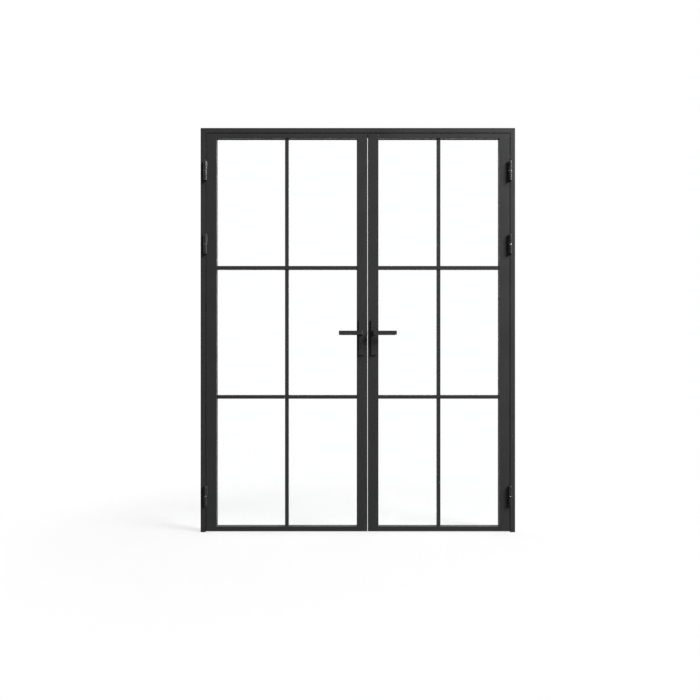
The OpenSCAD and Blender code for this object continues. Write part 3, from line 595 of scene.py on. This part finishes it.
def flat_lever(height, reach, out):
    """A flat bar from its foot at the origin out along -Y, turned square, and on along +X."""
    half = LEVER_BAR / 2
    bm = block((-half, -out, -height / 2), (reach, LEVER_BAR - out, height / 2))
    whole = bm.verts[:] + bm.edges[:] + bm.faces[:]
    bmesh.ops.bisect_plane(bm, geom=whole, plane_co=(half, 0, 0), plane_no=ALONG_X, dist=WELD)
    bm.normal_update()
    neck = [f for f in bm.faces if f.normal.y > FACING and f.calc_center_median().x < half]
    made = bmesh.ops.extrude_face_region(bm, geom=neck)["geom"]
    neck_end = [part for part in made if isinstance(part, bmesh.types.BMVert)]
    neck_length = out - LEVER_BAR - ROOT_LENGTH + ROOT_OVERLAP
    bmesh.ops.translate(bm, verts=neck_end, vec=ALONG_Y * neck_length)
    bmesh.ops.recalc_face_normals(bm, faces=bm.faces)
    corner = [
        edge
        for edge in bm.edges
        if all(abs(v.co.x + half) < WELD and abs(v.co.y + out) < WELD for v in edge.verts)
    ]
    bevel(bm, corner, LEVER_CORNER, LEVER_CORNER_STEPS)
    bmesh.ops.dissolve_limit(bm, angle_limit=FLAT, verts=bm.verts, edges=bm.edges)
    round_edges(bm, LEVER_EDGE, LEVER_EDGE_STEPS)
    outline = [(0, 0), (ROOT_R, 0), (ROOT_R, ROOT_LENGTH - ROOT_CHAMFER)]
    outline += [(ROOT_R - ROOT_CHAMFER, ROOT_LENGTH), (0, ROOT_LENGTH)]
    join(bm, turned(outline, Vector((0, 0, 0)), -ALONG_Y))
    return bm


def lever(leaf, side):
    """One lever; the active ones point left, and the back ones mirror the front ones."""
    node = f"{leaf}_{side}_lever"
    low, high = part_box(node)
    left, back = leaf == "active", side == "back"
    spindle_x = high.x - ROOT_R if left else low.x + ROOT_R
    reach = spindle_x - low.x if left else high.x - spindle_x
    bm = flat_lever(high.z - low.z, reach, high.y - low.y)
    foot = Vector((spindle_x, low.y if back else high.y, (low.z + high.z) / 2))
    flip = Matrix.Diagonal((-1 if left else 1, -1 if back else 1, 1, 1))
    bmesh.ops.transform(bm, matrix=Matrix.Translation(foot) @ flip, verts=bm.verts)
    bmesh.ops.recalc_face_normals(bm, faces=bm.faces)
    show(f"{node}_milled", bm, f"{leaf}_lever", handle_coat, [node])


PLATE_T = 8 * MM
PLATE_CORNER = 2 * MM       # radius of a plate's corners, seen from the front
PLATE_STEPS = 4


def plate(leaf, side):
    """A long plate with a soft outline, and its collar and holes left crisp."""
    node = f"{leaf}_{side}_plate"
    low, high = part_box(node)
    middle = (low + high) / 2
    face_y = high.y - PLATE_T if side == "front" else low.y + PLATE_T
    half_w = (high.x - low.x) / 2 - PLATE_CORNER - WELD
    half_h = (high.z - low.z) / 2 - PLATE_CORNER - WELD

    def on_outline(edge):
        return all(
            abs(v.co.y - face_y) < WELD
            and (abs(v.co.x - middle.x) > half_w or abs(v.co.z - middle.z) > half_h)
            for v in edge.verts
        )

    bm = merged_copy(node)
    round_edges(bm, PLATE_EDGE, PLATE_STEPS, chosen=on_outline)
    bm.normal_update()
    round_edges(bm, FINE_EDGE)
    show(f"{node}_milled", bm, nodes[node]["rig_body"], handle_coat, [node])


def plates(leaf):
    """The long plates behind a leaf's levers, and the screws that hold them."""
    for side in SIDES:
        plate(leaf, side)
    rounded(f"{leaf}_plate_screws", "turned", screw_oxide, FINE_EDGE / 2)


WING_CORNER = 8 * MM        # radius of the wing's outer corners
WING_CORNER_STEPS = 10
WING_EDGE = 1.0 * MM
WING_EDGE_STEPS = 3
FOOT_T = 5 * MM             # thickness of the thumb turn's round foot
WING_T = 5 * MM
WING_OVERLAP = 1 * MM       # how far the wing runs into the foot
TURN_LENGTH = 20 * MM       # from the back of the foot to the end of the wing
PLUG_R = 5 * MM
TURN_CHAMFER = 0.8 * MM


def thumb_turn():
    """The knob behind the back plate: a round foot, an oval wing and a shaft."""
    low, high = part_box("thumb_turn")
    centre = (low + high) / 2
    foot_r = (high.x - low.x) / 2
    foot_y = high.y - TURN_LENGTH
    shaft = Vector((centre.x, low.y, centre.z))
    depth = foot_y - low.y
    outline = [(0, 0), (PLUG_R, 0), (PLUG_R, depth), (foot_r, depth)]
    outline += [(foot_r, depth + FOOT_T - TURN_CHAMFER), (foot_r - TURN_CHAMFER, depth + FOOT_T)]
    outline += [(0, depth + FOOT_T)]
    piece = turned(outline, shaft, ALONG_Y)
    wing = block(
        (centre.x - WING_T / 2, foot_y + FOOT_T - WING_OVERLAP, low.z),
        (centre.x + WING_T / 2, high.y, high.z),
    )
    outer = [
        edge
        for edge in wing.edges
        if all(abs(v.co.y - high.y) < WELD for v in edge.verts)
        and abs(edge.verts[0].co.x - edge.verts[1].co.x) > WELD
    ]
    bevel(wing, outer, WING_CORNER, WING_CORNER_STEPS)
    round_edges(wing, WING_EDGE, WING_EDGE_STEPS)
    join(piece, wing)
    show("thumb_turn_milled", piece, "thumb_turn", handle_coat, ["thumb_turn"])


# ---- lock -------------------------------------------------------------------


def lock_faces():
    """What shows of the lock in the leaves' edges and in the plates."""
    rounded("lock_cylinder", "milled", handle_coat, FINE_EDGE)
    rounded("cylinder_plug", "turned", handle_coat, FINE_EDGE / 2)
    for node in ("lock_forend", "strike_plate"):
        rounded(node, "brushed", edge_steel, FINE_EDGE)
    for node in ("forend_screws", "strike_screws"):
        rounded(node, "turned", turned_steel, FINE_EDGE / 2)
    for node in ("latch_bolt", "dead_bolt"):
        rounded(node, "ground", bolt_steel, FINE_EDGE * 2)
    rounded("top_rod", "drawn", edge_steel, FINE_EDGE * 2)
    rounded("head_keep", "pressed", bolt_steel, FINE_EDGE)


def finish_node(node, look):
    """Gives a CAD piece that keeps its shape its finish."""
    piece = nodes[node]
    piece.data.materials.clear()
    piece.data.materials.append(look)


def hidden_parts():
    """Pieces inside the profiles, and the seals, keep their CAD shape."""
    finish_node("frame_seals", rubber)
    inside = ["frame_corner_blocks", "lock_case", "gear_case", "cylinder_cam"]
    inside += ["active_follower", "passive_follower"]
    inside += [f"{leaf}_{part}" for leaf in LEAVES for part in ("corner_blocks", "spindle")]
    for node in inside:
        finish_node(node, zinc)


# ---- floor, light and camera ------------------------------------------------

EYE = Vector((-0.0402, -4.197, 0.9321))
LENS = 42.0                 # focal length and film width, in millimetres
SENSOR = 36.0
SIGHT = 100.0               # the camera sees this far
ROOM_FRONT = 0.15           # how bright the room is to the doors; the camera sees it white
ROOM_BACK = 1.3             # it is brighter behind them
BACK_DIRECTION = Vector((-0.25, 0.9, 0.35))
BACK_SPREAD = (-0.05, 0.8)  # cosines where that side begins and is full
ROOM_RIM = 1.8              # the brightest part of the room, behind on the right
RIM_DIRECTION = Vector((0.5, 0.85, 0.17))
RIM_SPREAD = (0.70, 0.95)   # cosines where that part begins and is full
KEY_AIM = Vector((0.0, 0.0, 1.0))
KEY_DIRECTION = Vector((1.55, -1.0, 1.19))
KEY_DISTANCE = 12.0
KEY_SIZE = 6.5
KEY_POWER = 3200.0
FLOOR_SIZE = 120.0
FLOOR_ROUGHNESS = 0.9
FLOOR_SEEN = 0.52           # the floor's paleness to the eye
FLOOR_MIRRORED = 0.12       # and in the doors' own reflections
FLOOR_GLOW = 0.70           # share of plain white in it, which keeps its shadows faint
FLOOR_FADE = (0.9, 2.0)     # the floor turns into plain white between these radii


def seen_by_eye(tree):
    """1 where the camera looks, straight or by way of the glass, and 0 for other light."""
    path = tree.nodes.new("ShaderNodeLightPath")
    either = tree.nodes.new("ShaderNodeMath")
    either.operation = "MAXIMUM"
    tree.links.new(path.outputs["Is Camera Ray"], either.inputs[0])
    tree.links.new(path.outputs["Is Singular Ray"], either.inputs[1])
    return either.outputs["Value"]


def floor_look():
    """Pale and matt near the doors, and plain white further out."""
    pale_white = (FLOOR_SEEN,) * 3
    look, tree, shader = new_look("floor_white", pale_white, FLOOR_ROUGHNESS, specular=0.0)
    coords = tree.nodes.new("ShaderNodeTexCoord")
    reach = tree.nodes.new("ShaderNodeVectorMath")
    reach.operation = "LENGTH"
    fade = tree.nodes.new("ShaderNodeMapRange")
    fade.interpolation_type = "SMOOTHSTEP"
    fade.inputs["From Min"].default_value = FLOOR_FADE[0]
    fade.inputs["From Max"].default_value = FLOOR_FADE[1]
    fade.inputs["To Min"].default_value = FLOOR_GLOW
    glow = tree.nodes.new("ShaderNodeEmission")
    glow.inputs["Color"].default_value = (1, 1, 1, 1)
    dim = tree.nodes.new("ShaderNodeBsdfDiffuse")
    dim.inputs["Color"].default_value = (FLOOR_MIRRORED,) * 3 + (1,)
    tree.links.new(coords.outputs["Object"], reach.inputs[0])
    tree.links.new(reach.outputs["Value"], fade.inputs["Value"])
    pale = mixed(tree, fade.outputs["Result"], shader.outputs["BSDF"], glow.outputs["Emission"])
    whole = mixed(tree, seen_by_eye(tree), dim.outputs["BSDF"], pale)
    tree.links.new(whole, tree.nodes["Material Output"].inputs["Surface"])
    return look


def pale_floor():
    """A wide level floor that runs out into the white round it."""
    bm = bmesh.new()
    bmesh.ops.create_grid(bm, x_segments=1, y_segments=1, size=FLOOR_SIZE / 2)
    as_object("floor", bm, floor_look())


def towards(tree, direction, spread, low, high):
    """A value that rises from low to high as the view turns to a direction."""
    coords = tree.nodes.new("ShaderNodeTexCoord")
    nearness = tree.nodes.new("ShaderNodeVectorMath")
    nearness.operation = "DOT_PRODUCT"
    nearness.inputs[1].default_value = direction.normalized()
    rise = tree.nodes.new("ShaderNodeMapRange")
    rise.interpolation_type = "SMOOTHSTEP"
    rise.inputs["From Min"].default_value = spread[0]
    rise.inputs["From Max"].default_value = spread[1]
    rise.inputs["To Min"].default_value = low
    rise.inputs["To Max"].default_value = high
    tree.links.new(coords.outputs["Generated"], nearness.inputs[0])
    tree.links.new(nearness.outputs["Value"], rise.inputs["Value"])
    return rise.outputs["Result"]


def white_room():
    """A room that is white to the camera, and to the doors dim, but for a glow behind."""
    world = bpy.data.worlds.new("white_room")
    world.use_nodes = True
    tree = world.node_tree
    seen = tree.nodes["Background"]
    seen.inputs["Color"].default_value = (1, 1, 1, 1)
    fill = tree.nodes.new("ShaderNodeBackground")
    fill.inputs["Color"].default_value = (1, 1, 1, 1)
    behind = towards(tree, BACK_DIRECTION, BACK_SPREAD, ROOM_FRONT, ROOM_BACK)
    rim = towards(tree, RIM_DIRECTION, RIM_SPREAD, 0.0, 1.0)
    brightness = tree.nodes.new("ShaderNodeMix")
    brightness.data_type = "FLOAT"
    brightness.inputs["B"].default_value = ROOM_RIM
    tree.links.new(rim, brightness.inputs["Factor"])
    tree.links.new(behind, brightness.inputs["A"])
    tree.links.new(brightness.outputs["Result"], fill.inputs["Strength"])
    whole = mixed(tree, seen_by_eye(tree), fill.outputs["Background"], seen.outputs["Background"])
    tree.links.new(whole, tree.nodes["World Output"].inputs["Surface"])
    bpy.context.scene.world = world


def key_lamp():
    """One large soft lamp, high on the right in front, that isn't seen itself."""
    lamp = bpy.data.lights.new("key_lamp", "AREA")
    lamp.shape = "DISK"
    lamp.size = KEY_SIZE
    lamp.energy = KEY_POWER
    key = bpy.data.objects.new("key_lamp", lamp)
    key.location = KEY_AIM + KEY_DIRECTION.normalized() * KEY_DISTANCE
    key.rotation_euler = KEY_DIRECTION.to_track_quat("Z", "Y").to_euler()
    key.visible_camera = False
    key.visible_transmission = False
    bpy.context.scene.collection.objects.link(key)


def level_camera():
    """A level camera in front of the doors, a little under half their height."""
    lens = bpy.data.cameras.new("camera")
    lens.lens = LENS
    lens.sensor_width = SENSOR
    lens.clip_end = SIGHT
    camera = bpy.data.objects.new("camera", lens)
    camera.location = EYE
    camera.rotation_euler = (math.pi / 2, 0, 0)
    bpy.context.scene.collection.objects.link(camera)
    bpy.context.scene.camera = camera
    bpy.context.scene.view_settings.view_transform = "Standard"


coat_frame()
for each_leaf in LEAVES:
    coat_leaf(each_leaf)
    glaze_leaf(each_leaf)
    plates(each_leaf)
    for each_side in SIDES:
        lever(each_leaf, each_side)
leaf_knuckles("active", 1)
leaf_knuckles("passive", -1)
frame_knuckles()
washers()
thumb_turn()
lock_faces()
hidden_parts()
pale_floor()
white_room()
key_lamp()
level_camera()
